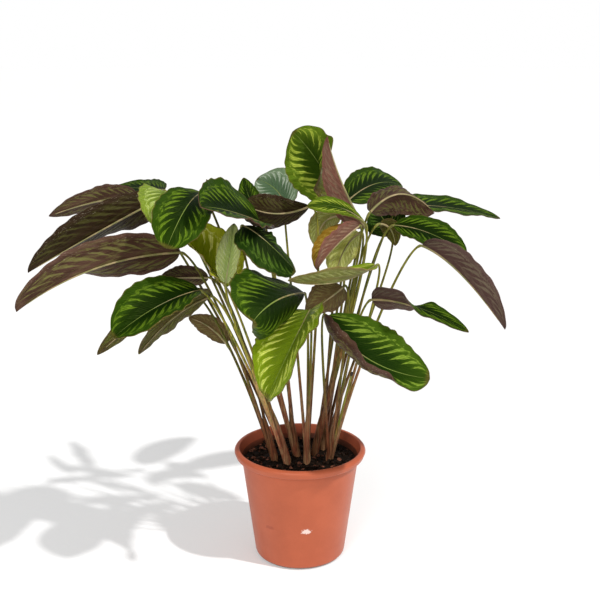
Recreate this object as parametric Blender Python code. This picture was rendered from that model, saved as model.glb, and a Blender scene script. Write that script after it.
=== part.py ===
"""A potted calathea: a plastic nursery pot, soil, eight leafy shoots and their blades.

Metres, +Z up. The origin is on the pot's axis, at the middle of its flat base.
The plant is seen from -Y, with +X to the right.
"""

from collections import namedtuple
import math

import bmesh
import bpy
from mathutils import Matrix, Vector, noise

MM = 0.001

# Gap kept between two pieces that touch
GAP = 0.3 * MM

# Pot: a 17 cm nursery pot
POT_HEIGHT = 147 * MM
RIM_RADIUS = 85 * MM
WALL_TOP_RADIUS = 76 * MM
WALL_FOOT_RADIUS = 59 * MM
FOOT_ROUND = 8 * MM
WALL = 2 * MM
LIP_HEIGHT = 11 * MM
LIP_ROUND = 4.5 * MM
LIP_EDGE = 3 * MM
FLOOR = 3 * MM
POT_SIDES = 36
DRAIN_HOLES = 4
DRAIN_RADIUS = 4 * MM
DRAIN_RING = 36 * MM
DRAIN_SIDES = 10

# Soil
SOIL_TOP = 129.5 * MM
SOIL_LUMP = 3 * MM
SOIL_LUMP_SIZE = 14 * MM
SOIL_LUMP_REACH = 0.9
SOIL_RINGS = 5

# Sheaths at the foot of each shoot, and the stalks of the leaves
SHEATH_RADIUS = 5.5 * MM
SHEATH_TOP_RADIUS = 3.4 * MM
SHEATH_HEIGHT = 70 * MM
SHEATH_COLLAR = 6 * MM
SHEATH_WAIST = 0.85
ROOT_DEPTH = 12 * MM
SHEATH_SIDES = 10
STALK_FOOT_RADIUS = 2.4 * MM
STALK_NECK_RADIUS = 1.3 * MM
STALK_SIDES = 5
STALK_STEPS = 10
STALK_SPREAD = 2.5 * MM
STALK_RISE = 0.42
STALK_LEAN = 0.75
STALK_TAPER = 0.6
NECK_REACH = 26 * MM

# Blades
BLADE_THICKNESS = 0.9 * MM
BLADE_STEPS = (9, 6)
SMALL_BLADE_STEPS = (7, 4)
SMALL_BLADE_WIDTH = 50
BLADE_END_WIDTH = 1.3 * MM
WAVE_COUNT = 2.6
WAVE_HEIGHT = 0.055
WAVE_SHIFT = 0.3
BASE_ROUNDING = 0.5
LEAST_CURL = 0.01

# Colours, as linear red, green and blue
TERRACOTTA = (0.50, 0.13, 0.065)
PEAT = (0.035, 0.022, 0.016)
STALK_BROWN = (0.17, 0.095, 0.045)
DEEP_GREEN = (0.035, 0.11, 0.025)
LIGHT_GREEN = (0.20, 0.32, 0.05)
PURPLE_BROWN = (0.11, 0.065, 0.05)
ORANGE_OLIVE = (0.30, 0.16, 0.03)

# Feet of the shoots on the soil, in millimetres from the pot's axis
SHOOTS = {
    "a": (-33, -4),
    "b": (-16, -17),
    "c": (-20, 18),
    "d": (-4, 6),
    "e": (9, -12),
    "f": (19, 11),
    "g": (30, 30),
    "h": (38, -5),
}

# A leaf: its shoot, then in millimetres the blade's neck, the middle of its midrib, its tip and its
# full width. The angles are in degrees, each a list of values from neck to tip. Roll turns the blade
# about its midrib, from a level blade. Left and right fold each half up from flat, as seen from the
# neck, and the two curls bend it further by its margin. Widest is where along the midrib the blade is
# broadest, from 0 to 1, and point is how sharply it ends, from 0.3, which is blunt, to 1.
Leaf = namedtuple(
    "Leaf",
    "shoot neck mid tip width tone roll left right left_curl right_curl widest point",
    defaults=[(0,), (10,), (10,), (0,), (0,), 0.46, 0.65],
)

LEAVES = {
    "left_1": Leaf("a", (-145, -30, 410), (-239, -80, 401), (-322, -120, 360), 68, "under",
                   roll=(-80,), left=(0,), right=(0, 30, 85, 95), left_curl=(10,), point=0.5),
    "left_2": Leaf("c", (-170, 10, 470), (-250, -20, 430), (-330, -30, 385), 66, "under",
                   roll=(-75,), left=(0,), right=(10, 50, 70), left_curl=(10,)),
    "left_3": Leaf("c", (-210, 60, 464), (-270, 90, 452), (-335, 110, 430), 46, "under",
                   roll=(-65,), left=(55,), right=(30,), left_curl=(10,)),
    "left_4": Leaf("c", (-180, 110, 465), (-215, 160, 460), (-265, 210, 455), 36, "deep",
                   roll=(40,), left=(0,), right=(0,)),
    "left_5": Leaf("c", (-142, -5, 464), (-152, -50, 481), (-156, -88, 450), 76, "young",
                   roll=(10,), left=(-25,), right=(5,), point=0.45),
    "left_6": Leaf("d", (-115, -25, 480), (-128, -85, 476), (-149, -120, 433), 66, "deep",
                   roll=(20,), widest=0.64, point=0.5),
    "left_7": Leaf("b", (-120, -60, 370), (-162, -110, 364), (-210, -140, 335), 72, "deep",
                   roll=(65,), left=(65,), right=(0,), widest=0.58),
    "left_8": Leaf("a", (-135, -10, 355), (-180, -40, 340), (-245, -60, 290), 50, "under",
                   roll=(-60,)),
    "left_9": Leaf("b", (-110, -30, 355), (-150, -70, 340), (-190, -90, 300), 56, "under",
                   roll=(-50,), right=(0,)),
    "left_10": Leaf("a", (-115, 8, 370), (-145, 8, 370), (-175, 8, 370), 36, "under",
                    roll=(-60,)),
    "left_11": Leaf("a", (-95, 20, 280), (-115, 10, 305), (-140, 0, 320), 32, "under",
                    roll=(-60,)),
    "left_12": Leaf("b", (-90, -30, 366), (-113, -36, 399), (-153, -30, 447), 92, "young",
                    roll=(82,), left=(92,), right=(0,)),
    "left_13": Leaf("b", (-87, -75, 383), (-82, -68, 414), (-78, -45, 448), 32, "young",
                    left=(25,), right=(25,)),
    "mid_1": Leaf("d", (-50, 0, 442), (-85, -72, 468), (-110, -122, 480), 88, "deep",
                  roll=(60,), left=(45,), right=(0,), widest=0.38),
    "mid_2": Leaf("d", (-50, 60, 440), (-65, 90, 455), (-75, 120, 480), 30, "deep",
                  roll=(30,)),
    "mid_3": Leaf("e", (12, 40, 455), (-30, 25, 448), (-68, 10, 462), 50, "under",
                  roll=(-70,), left=(45,), widest=0.6, point=0.4),
    "mid_4": Leaf("e", (-20, 80, 440), (-30, 130, 460), (-60, 180, 470), 68, "deep",
                  roll=(45,)),
    "mid_5": Leaf("d", (-66, -60, 448), (-39, -70, 431), (-5, -55, 392), 76, "deep",
                  roll=(-40,), left=(-30,), right=(0,), point=0.5),
    "mid_6": Leaf("e", (5, -40, 362), (-26, -130, 376), (-51, -180, 365), 112, "deep",
                  roll=(40,), left=(-10,), right=(-10,), left_curl=(-130,), widest=0.52, point=0.5),
    "mid_7": Leaf("e", (12, -50, 343), (-8, -106, 318), (-38, -120, 256), 104, "young",
                  roll=(5,), left=(45,), right=(0,), point=0.45),
    "mid_8": Leaf("f", (57, 45, 447), (27, 55, 503), (-9, 45, 548), 88, "deep",
                  roll=(80,), left=(0,), right=(150, 140, 105, 40, 0), widest=0.55),
    "mid_9": Leaf("f", (79, -15, 438), (51, -12, 491), (33, 0, 546), 58, "under",
                  roll=(-80,), left=(140,), widest=0.36),
    "mid_10": Leaf("f", (78, -25, 445), (47, -40, 466), (8, -50, 469), 24, "deep",
                   roll=(50,), widest=0.65),
    "mid_11": Leaf("f", (70, -35, 443), (40, -60, 422), (20, -70, 397), 48, "orange",
                   roll=(40,), left=(110,), right=(0,)),
    "mid_12": Leaf("g", (52, 70, 438), (30, 80, 425), (22, 80, 394), 36, "under",
                   roll=(-60,)),
    "mid_13": Leaf("f", (72, -14, 431), (54, -11, 409), (43, -12, 373), 44, "under",
                   roll=(-60,), widest=0.5),
    "mid_14": Leaf("h", (52, -30, 367), (34, -30, 352), (7, -30, 334), 54, "under",
                   roll=(-60,)),
    "mid_15": Leaf("h", (92, -30, 394), (40, -60, 380), (-14, -90, 389), 50, "young",
                   roll=(20,), left=(30, 80, 85), right=(0,)),
    "right_1": Leaf("g", (63, 90, 454), (104, 150, 468), (144, 200, 458), 56, "deep",
                    roll=(-40,), widest=0.4),
    "right_2": Leaf("g", (87, 10, 453), (128, 30, 472), (170, 40, 446), 60, "under",
                    roll=(70,), left=(0,), right=(100,), widest=0.46, point=0.35),
    "right_3": Leaf("g", (130, 70, 450), (200, 120, 440), (275, 150, 420), 54, "deep",
                    roll=(-20,)),
    "right_4": Leaf("h", (118, 20, 434), (161, 0, 427), (202, -25, 406), 48, "deep",
                    roll=(-30,)),
    "right_5": Leaf("h", (147, -35, 419), (189, -65, 392), (241, -85, 329), 56, "under",
                    roll=(80,), left=(85,), right=(0,), widest=0.52),
    "right_6": Leaf("g", (100, 20, 436), (114, 25, 428), (120, 25, 407), 24, "under",
                    roll=(60,)),
    "right_7": Leaf("h", (88, -30, 351), (136, -70, 353), (196, -100, 330), 40, "deep",
                    roll=(80, 50, -15, -25), widest=0.36),
    "right_8": Leaf("h", (32, -40, 333), (81, -90, 294), (150, -120, 280), 94, "deep",
                    roll=(-45,), left=(0,), right=(10,), right_curl=(170, 160, 110, 10), point=0.5),
    "right_9": Leaf("g", (121, 80, 409), (112, 90, 426), (96, 100, 446), 56, "deep",
                    roll=(40,)),
}

# The cut stub on the right: its shoot and its end, in millimetres
STUB = ("h", (65, -22, 254))

TONES = {
    "deep": ("leaf_deep_green", DEEP_GREEN),
    "young": ("leaf_light_green", LIGHT_GREEN),
    "under": ("leaf_purple_brown", PURPLE_BROWN),
    "orange": ("leaf_orange_olive", ORANGE_OLIVE),
}


# Small helpers


def clear_scene():
    for thing in list(bpy.data.objects):
        bpy.data.objects.remove(thing)


def material(name, colour, roughness):
    made = bpy.data.materials.get(name) or bpy.data.materials.new(name)
    made.use_nodes = True
    made.diffuse_color = (*colour, 1.0)
    shader = made.node_tree.nodes["Principled BSDF"]
    shader.inputs["Base Color"].default_value = (*colour, 1.0)
    shader.inputs["Roughness"].default_value = roughness
    shader.inputs["Metallic"].default_value = 0.0
    return made


def add_object(name, bm, look):
    mesh = bpy.data.meshes.new(name)
    bm.to_mesh(mesh)
    bm.free()
    made = bpy.data.objects.new(name, mesh)
    if look is not None:
        mesh.materials.append(look)
    bpy.context.scene.collection.objects.link(made)
    return made


def shade_round(thing, angle=50):
    thing.data.shade_smooth()
    thing.data.set_sharp_from_angle(angle=math.radians(angle))


def apply_modifiers(thing):
    graph = bpy.context.evaluated_depsgraph_get()
    mesh = bpy.data.meshes.new_from_object(thing.evaluated_get(graph))
    thing.modifiers.clear()
    thing.data = mesh


def along(values, t):
    """The value at t, from 0 to 1, eased between values spread evenly from neck to tip."""
    place = t * (len(values) - 1)
    first = min(int(place), len(values) - 1)
    last = min(first + 1, len(values) - 1)
    part = place - first
    ease = part * part * (3 - 2 * part)
    return values[first] + (values[last] - values[first]) * ease


# Pot and soil


def wall_radius(height):
    """Outer radius of the pot's wall at a height."""
    share = (height - FOOT_ROUND) / (POT_HEIGHT - LIP_HEIGHT - FOOT_ROUND)
    return WALL_FOOT_RADIUS + (WALL_TOP_RADIUS - WALL_FOOT_RADIUS) * share


def arc(centre_radius, centre_height, radius, start, end, steps):
    """Points of a round corner in the pot's profile, by angle in degrees from level and outwards."""
    points = []
    for step in range(steps + 1):
        angle = math.radians(start + (end - start) * step / steps)
        points.append((centre_radius + radius * math.cos(angle), centre_height + radius * math.sin(angle)))
    return points


def turn(profile, sides):
    """A closed turned solid from a profile that starts and ends on the axis."""
    bm = bmesh.new()
    points = [bm.verts.new((radius, 0.0, height)) for radius, height in profile]
    edges = [bm.edges.new(pair) for pair in zip(points, points[1:])]
    bmesh.ops.spin(
        bm,
        geom=points + edges,
        axis=(0, 0, 1),
        cent=(0, 0, 0),
        steps=sides,
        angle=math.tau,
        use_merge=True,
    )
    bmesh.ops.remove_doubles(bm, verts=bm.verts[:], dist=0.01 * MM)
    bmesh.ops.recalc_face_normals(bm, faces=bm.faces[:])
    return bm


def pot_profile():
    """The pot's profile from the middle of its base, up the outside, over the lip and down inside."""
    under_lip = POT_HEIGHT - LIP_HEIGHT
    lip_middle = RIM_RADIUS - LIP_ROUND
    inner_foot = wall_radius(FLOOR) - WALL
    profile = [(0.0, 0.0)]
    profile += arc(WALL_FOOT_RADIUS - FOOT_ROUND, FOOT_ROUND, FOOT_ROUND, -90, -8, 3)
    profile += [(wall_radius(under_lip), under_lip)]
    profile += arc(lip_middle, under_lip + LIP_EDGE, LIP_EDGE, -90, 0, 2)
    profile += arc(lip_middle, POT_HEIGHT - LIP_ROUND, LIP_ROUND, 0, 115, 4)
    profile += [(wall_radius(under_lip) - WALL, under_lip - LIP_EDGE)]
    profile += [(inner_foot - FLOOR, 2 * FLOOR), (inner_foot - 2 * FLOOR, FLOOR)]
    profile += [(0.0, FLOOR)]
    return profile


def drain_cutter():
    bm = bmesh.new()
    for hole in range(DRAIN_HOLES):
        angle = math.tau * (hole + 0.5) / DRAIN_HOLES
        place = Vector((DRAIN_RING * math.cos(angle), DRAIN_RING * math.sin(angle), 0.0))
        bmesh.ops.create_cone(
            bm,
            cap_ends=True,
            segments=DRAIN_SIDES,
            radius1=DRAIN_RADIUS,
            radius2=DRAIN_RADIUS,
            depth=4 * FLOOR,
            matrix=Matrix.Translation(place),
        )
    return add_object("drain_cutter", bm, None)


def cut(thing, cutter):
    tool = thing.modifiers.new("cut", "BOOLEAN")
    tool.operation = "DIFFERENCE"
    tool.object = cutter
    tool.solver = "EXACT"
    apply_modifiers(thing)
    bpy.data.objects.remove(cutter)


def make_pot():
    pot = add_object("pot", turn(pot_profile(), POT_SIDES), material("pot_plastic", TERRACOTTA, 0.45))
    cut(pot, drain_cutter())
    shade_round(pot, 40)


def soil_bed():
    """The soil's profile, from the pot's floor to a level top in rings."""
    top = wall_radius(SOIL_TOP) - WALL - 2 * GAP
    foot = wall_radius(FLOOR) - WALL - 2 * GAP
    profile = [(0.0, FLOOR + GAP)]
    profile += [(foot - 2 * FLOOR, FLOOR + GAP), (foot - FLOOR, 2 * FLOOR + GAP)]
    profile += [(top * ring / SOIL_RINGS, SOIL_TOP) for ring in range(SOIL_RINGS, -1, -1)]
    return profile


def shoot_foot(shoot):
    across, deep = SHOOTS[shoot]
    return Vector((across * MM, deep * MM, SOIL_TOP))


def hole_cutter():
    bm = bmesh.new()
    depth = ROOT_DEPTH + GAP
    for shoot in SHOOTS:
        bmesh.ops.create_cone(
            bm,
            cap_ends=True,
            segments=SHEATH_SIDES,
            radius1=SHEATH_RADIUS + 1.5 * GAP,
            radius2=SHEATH_RADIUS + 1.5 * GAP,
            depth=2 * depth,
            matrix=Matrix.Translation(shoot_foot(shoot)),
        )
    return add_object("hole_cutter", bm, None)


def make_soil():
    bm = turn(soil_bed(), POT_SIDES)
    edge = wall_radius(SOIL_TOP) * SOIL_LUMP_REACH
    for vert in bm.verts:
        if vert.co.z > SOIL_TOP - GAP and vert.co.xy.length < edge:
            vert.co.z += SOIL_LUMP * noise.noise(vert.co / SOIL_LUMP_SIZE)
    soil = add_object("soil", bm, material("potting_soil", PEAT, 0.95))
    cut(soil, hole_cutter())
    shade_round(soil, 30)


# Stalks


def bezier(points, t):
    """A point and its direction on the Bezier curve of three or four points."""
    layer = list(points)
    while len(layer) > 2:
        layer = [a.lerp(b, t) for a, b in zip(layer, layer[1:])]
    return layer[0].lerp(layer[1], t), (layer[1] - layer[0]).normalized()


def midrib_curve(leaf):
    """The three control points of a midrib that passes through its middle point."""
    neck, mid, tip = (Vector(place) * MM for place in (leaf.neck, leaf.mid, leaf.tip))
    return neck, 2 * mid - (neck + tip) / 2, tip


def stalk_curve(leaf):
    neck, bend, _ = midrib_curve(leaf)
    foot = shoot_foot(leaf.shoot)
    outward = Vector((neck.x - foot.x, neck.y - foot.y, 0.0)).normalized()
    foot = foot + outward * STALK_SPREAD
    knee = neck - (bend - neck).normalized() * NECK_REACH
    rise = (knee - foot) * STALK_RISE
    rise.x *= STALK_LEAN
    rise.y *= STALK_LEAN
    return foot, foot + rise, knee, neck


def tube(stations, sides):
    """A closed round tube through stations of place, direction and radius, by extruding one ring."""
    bm = bmesh.new()
    place, ahead, radius = stations[0]
    turned = ahead.to_track_quat("Z", "Y")
    start = bmesh.ops.create_circle(
        bm,
        cap_ends=True,
        segments=sides,
        radius=radius,
        matrix=Matrix.Translation(place) @ turned.to_matrix().to_4x4(),
    )
    ring = start["verts"]
    edges = [edge for edge in bm.edges if edge.verts[0] in ring]
    for index in range(1, len(stations)):
        before = ahead
        last_place, last_radius = place, radius
        place, ahead, radius = stations[index]
        swing = before.rotation_difference(ahead)
        grown = bmesh.ops.extrude_edge_only(bm, edges=edges)["geom"]
        ring = [part for part in grown if isinstance(part, bmesh.types.BMVert)]
        edges = [part for part in grown if isinstance(part, bmesh.types.BMEdge)]
        for vert in ring:
            spoke = (vert.co - last_place) * (radius / last_radius)
            vert.co = place + swing @ spoke
    bmesh.ops.edgeloop_fill(bm, edges=edges)
    bmesh.ops.recalc_face_normals(bm, faces=bm.faces[:])
    return bm


def stalk_stations(curve, end_radius):
    stations = []
    for step in range(STALK_STEPS + 1):
        t = math.sin(step / STALK_STEPS * math.pi / 2)
        place, ahead = bezier(curve, t)
        radius = STALK_FOOT_RADIUS + (end_radius - STALK_FOOT_RADIUS) * t**STALK_TAPER
        stations.append((place, ahead, radius))
    return stations


def sheath_stations(foot, lean):
    up = Vector((0, 0, 1))
    return [
        (foot - up * ROOT_DEPTH, up, SHEATH_RADIUS),
        (foot + up * SHEATH_COLLAR, up, SHEATH_RADIUS),
        (foot + up * SHEATH_COLLAR + lean * SHEATH_HEIGHT * 0.5, lean, SHEATH_RADIUS * SHEATH_WAIST),
        (foot + up * SHEATH_COLLAR + lean * SHEATH_HEIGHT, lean, SHEATH_TOP_RADIUS),
    ]


def join(first, others):
    """One Boolean union of an object with a collection of others, which are then removed."""
    group = bpy.data.collections.new("joining")
    for other in others:
        group.objects.link(other)
    union = first.modifiers.new("union", "BOOLEAN")
    union.operation = "UNION"
    union.operand_type = "COLLECTION"
    union.collection = group
    union.solver = "MANIFOLD"
    apply_modifiers(first)
    for other in others:
        bpy.data.objects.remove(other)
    bpy.data.collections.remove(group)


def make_shoot(shoot):
    curves = [stalk_curve(leaf) for leaf in LEAVES.values() if leaf.shoot == shoot]
    foot = shoot_foot(shoot)
    if STUB[0] == shoot:
        end = Vector(STUB[1]) * MM
        curves.append((foot, foot.lerp(end, 0.3), foot.lerp(end, 0.7), end))
    lean = sum(((curve[1] - foot).normalized() for curve in curves), Vector()).normalized()
    name = "shoot_" + shoot
    brown = material("stalk", STALK_BROWN, 0.5)
    sheath = add_object(name, tube(sheath_stations(foot, lean), SHEATH_SIDES), brown)
    stalks = []
    for number, curve in enumerate(curves):
        bm = tube(stalk_stations(curve, STALK_NECK_RADIUS), STALK_SIDES)
        stalks.append(add_object(f"{name}_stalk_{number}", bm, None))
    join(sheath, stalks)
    shade_round(sheath, 60)


# Blades


def outline(leaf, t):
    """Half width of a blade at t along its midrib, as a share of the widest."""
    shift = math.log(0.5) / math.log(leaf.widest)
    rounding = BASE_ROUNDING + (leaf.point - BASE_ROUNDING) * t
    return math.sin(math.pi * t**shift) ** rounding


def blade_point(leaf, t, across):
    """The place on a blade at t along its midrib and from -1 to 1 across it, from left to right."""
    neck, bend, tip = midrib_curve(leaf)
    centre, ahead = bezier((neck, bend, tip), t)
    level = (tip - neck).cross(Vector((0, 0, 1)))
    side = (level - ahead * level.dot(ahead)).normalized()
    up = side.cross(ahead)
    turned = Matrix.Rotation(-math.radians(along(leaf.roll, t)), 3, ahead)
    side, up = turned @ side, turned @ up
    hand = -1.0 if across < 0 else 1.0
    folds, curls = (leaf.left, leaf.left_curl) if across < 0 else (leaf.right, leaf.right_curl)
    fold = math.radians(along(folds, t))
    curl = math.radians(along(curls, t) + LEAST_CURL)
    half = max(leaf.width * MM / 2 * outline(leaf, t), BLADE_END_WIDTH)
    reach = abs(across)
    lean = fold + curl * reach
    out = (math.sin(lean) - math.sin(fold)) / curl
    lift = (math.cos(fold) - math.cos(lean)) / curl
    wave = math.sin(math.tau * (WAVE_COUNT * t + WAVE_SHIFT * hand)) * reach**2 * WAVE_HEIGHT * half
    over = side * (-hand * math.sin(lean)) + up * math.cos(lean)
    return centre + (side * (hand * out) + up * lift) * half + over * wave


def make_blade(name, leaf):
    bm = bmesh.new()
    steps_along, steps_across = SMALL_BLADE_STEPS if leaf.width < SMALL_BLADE_WIDTH else BLADE_STEPS
    bmesh.ops.create_grid(bm, x_segments=steps_along, y_segments=steps_across, size=0.5)
    for vert in bm.verts:
        share = vert.co.x + 0.5
        t = 0.5 * share + 0.25 * (1 - math.cos(math.pi * share))
        vert.co = blade_point(leaf, t, vert.co.y * 2)
    neck, bend, _ = midrib_curve(leaf)
    clear = (bend - neck).normalized() * GAP
    bmesh.ops.translate(bm, verts=bm.verts[:], vec=clear)
    bmesh.ops.triangulate(bm, faces=bm.faces[:])
    bmesh.ops.recalc_face_normals(bm, faces=bm.faces[:])
    look, colour = TONES[leaf.tone]
    blade = add_object("blade_" + name, bm, material(look, colour, 0.4))
    wall = blade.modifiers.new("thickness", "SOLIDIFY")
    wall.thickness = BLADE_THICKNESS
    wall.offset = 0.0
    blade.data.shade_smooth()


def main():
    clear_scene()
    make_pot()
    make_soil()
    for shoot in SHOOTS:
        make_shoot(shoot)
    for name, leaf in LEAVES.items():
        make_blade(name, leaf)


main()
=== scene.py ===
"""The potted calathea as it looks: fine leaves, stems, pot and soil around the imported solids.

Metres, +Z up. The origin is on the pot's axis, at the middle of its flat base.
The plant is seen from -Y, with +X to the right.
"""

from collections import namedtuple
import math
import random

import bmesh
import bpy
from mathutils import Matrix, Vector, noise


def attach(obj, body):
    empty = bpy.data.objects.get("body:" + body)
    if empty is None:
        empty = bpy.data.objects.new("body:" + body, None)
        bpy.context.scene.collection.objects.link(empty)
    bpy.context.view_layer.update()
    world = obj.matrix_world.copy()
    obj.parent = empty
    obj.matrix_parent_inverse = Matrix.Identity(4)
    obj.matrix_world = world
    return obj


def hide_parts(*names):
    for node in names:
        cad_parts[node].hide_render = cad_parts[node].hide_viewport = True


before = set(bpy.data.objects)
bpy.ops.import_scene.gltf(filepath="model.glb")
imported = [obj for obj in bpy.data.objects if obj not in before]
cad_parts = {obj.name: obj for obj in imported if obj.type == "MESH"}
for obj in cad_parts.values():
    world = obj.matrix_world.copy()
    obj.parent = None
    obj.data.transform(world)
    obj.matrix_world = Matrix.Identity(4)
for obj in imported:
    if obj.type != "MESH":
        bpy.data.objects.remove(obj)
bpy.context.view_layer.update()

MM = 0.001

# Camera and light
CAMERA_PLACE = (0.0, -1.25, 0.665)
CAMERA_PITCH = 14.45
CAMERA_LENS = 61.86
CAMERA_SENSOR = 36.0
FLOOR_RADIUS = 20.0
FLOOR_SIDES = 96
FLOOR_TONES = ((0.79, 0.79, 0.79), (0.81, 0.81, 0.81))
FLOOR_GLOW = 0.22
DOME_LIGHT = 0.42
KEY_FROM = (0.70, -0.42, 1.0)
KEY_LIGHT = 2.3
KEY_SPREAD = 2.0
KEY_COLOUR = (1.0, 0.99, 0.975)
BOX_PLACE = (-0.7, -2.2, 1.6)
BOX_TARGET = (0.0, 0.0, 0.25)
BOX_SIZE = 1.2
BOX_LIGHT = 30.0

# Pot
POT_HEIGHT = 147 * MM
RIM_RADIUS = 85 * MM
WALL_TOP_RADIUS = 76 * MM
WALL_FOOT_RADIUS = 59 * MM
FOOT_ROUND = 8 * MM
WALL = 2 * MM
LIP_HEIGHT = 11 * MM
LIP_ROUND = 4.5 * MM
LIP_EDGE = 3 * MM
FLOOR = 3 * MM
POT_SIDES = 128
DRAIN_HOLES = 4
DRAIN_RADIUS = 4 * MM
DRAIN_RING = 36 * MM
DRAIN_SIDES = 24

# Soil
SOIL_TOP = 129.5 * MM
SOIL_GAP = 0.6 * MM
SOIL_LUMP = 3 * MM
SOIL_LUMP_SIZE = 14 * MM
SOIL_GRAIN = 1.6 * MM
SOIL_GRAIN_SIZE = 4.5 * MM
SOIL_EDGE = 0.1
SOIL_RINGS = 34
SOIL_SIDES = 150

# Loose crumbs and bark chips. Flatness and width are shares of a lump's length.
CRUMBS = 620
CRUMB_MARGIN = 3 * MM
CRUMB_LEAST = 0.9 * MM
CRUMB_GROWTH = 3.6 * MM
CRUMB_FLATNESS = (0.5, 0.9)
CHIPS = 70
CHIP_SIZES = (2 * MM, 4.5 * MM)
CHIP_FLATNESS = (0.25, 0.45)
CHIP_DRIFT = 0.3
LUMP_WIDTHS = (0.5, 0.9)
LUMP_SEAT = 0.25
LUMP_TILT = 0.6
LUMP_GRAIN = 1.1
LUMP_APART = 1000
LUMP_ROUGHNESS = 0.3
CRUMB_SEED = 7

# Stems
SHEATH_RADIUS = 4.7 * MM
SHEATH_TOP_RADIUS = 3.0 * MM
SHEATH_HEIGHT = 66 * MM
SHEATH_TAPER = 0.8
SHEATH_BEND = 3.0
SHEATH_FADE = 0.75
SHEATH_FADE_FROM = 0.55
SHEATH_FADE_POWER = 1.5
SHEATH_COLLAR = 6 * MM
SHEATH_WAY = 0.25
ROOT_DEPTH = 8 * MM
SHEATH_SIDES = 24
SHEATH_STEPS = 12
STALK_FOOT_RADIUS = 2.4 * MM
STALK_NECK_RADIUS = 1.25 * MM
STALK_SIDES = 12
STALK_STEPS = 36
STALK_SPREAD = 2.5 * MM
STALK_RISE = 0.42
STALK_LEAN = 0.75
STALK_TAPER = 0.6
NECK_REACH = 26 * MM
NECK_SWELL = 0.4
NECK_SWELL_PLACE = 0.95
NECK_SWELL_LENGTH = 0.035
PALE_SPREAD = 0.40

# Blades
BLADE_THICKNESS = 0.8 * MM
BLADE_STEPS = (64, 28)
BLADE_END_WIDTH = 1.3 * MM
BLADE_TIP_WIDTH = 0.4 * MM
WAVE_COUNT = 2.6
WAVE_HEIGHT = 0.055
WAVE_SHIFT = 0.3
RIPPLE_COUNT = 7.3
RIPPLE_HEIGHT = 0.018
RIPPLE_SHIFT = 0.21
NOTCH_COUNT = 9.0
NOTCH_DEPTH = 0.02
NOTCH_SHIFT = 0.37
VEIN_COUNT = 11.0
VEIN_SLANT = 0.34
VEIN_RELIEF = 0.55 * MM
BASE_ROUNDING = 0.5
LEAST_CURL = 0.01
SEED_STEP = 0.618
RIB_STEPS = 24
RIB_SIDES = 8
RIB_RADIUS = 1.25 * MM
RIB_LEAST = 0.25 * MM
RIB_TAPER = 0.8
RIB_SINK = 0.5 * MM
RIB_END = 0.93

# Each shoot's foot on the soil, in millimetres to the right and to the back of the pot's axis, and how
# pale its stalks are, from 0, which is dark reddish brown, to 1
SHOOTS = {
    "a": (-33, -4, 0.05),
    "b": (-16, -17, 0.95),
    "c": (-20, 18, 0.20),
    "d": (-4, 6, 0.55),
    "e": (9, -12, 0.90),
    "f": (19, 11, 0.20),
    "g": (30, 30, 0.35),
    "h": (38, -5, 0.65),
}

# A leaf: its shoot, then in millimetres the blade's neck, the middle of its midrib, its tip and its
# full width. The angles are in degrees, each a list of values from neck to tip. Roll turns the blade
# about its midrib, from a level blade. Left and right fold each half up from flat, as seen from the
# neck, and the two curls bend it further by its margin. Widest is where along the midrib the blade is
# broadest, from 0 to 1, and point is how sharply it ends, from 0.3, which is blunt, to 1.
Leaf = namedtuple(
    "Leaf",
    "shoot neck mid tip width tone roll left right left_curl right_curl widest point",
    defaults=[(0,), (10,), (10,), (0,), (0,), 0.46, 0.65],
)

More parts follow.
